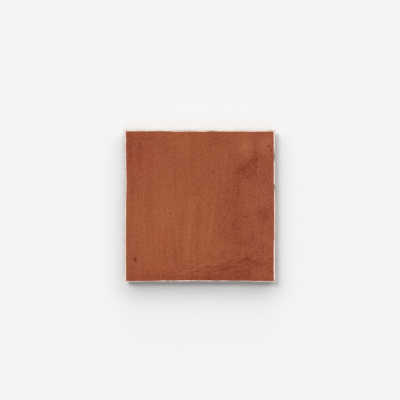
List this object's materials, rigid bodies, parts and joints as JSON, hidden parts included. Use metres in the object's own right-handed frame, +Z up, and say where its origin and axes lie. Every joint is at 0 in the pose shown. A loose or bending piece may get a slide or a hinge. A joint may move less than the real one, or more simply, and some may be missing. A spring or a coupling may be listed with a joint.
{
  "type": "porcelain tile",
  "caption": "Square porcelain tile with a matt terracotta face, a pale uneven edge and a keyed back, for bedding on floors and walls.",
  "frame": {"origin": "middle of the back, on the plane of the ribs that the tile lies on", "axes": "+Z up out of the face, +X to the right and +Y to the top of the face as it is seen from above"},
  "size_m": [0.0996, 0.1004, 0.0102],
  "materials": {
    "terracotta_porcelain": "matte"
  },
  "bodies": {
    "root": {"tile": "terracotta_porcelain"}
  },
  "joints": []
}
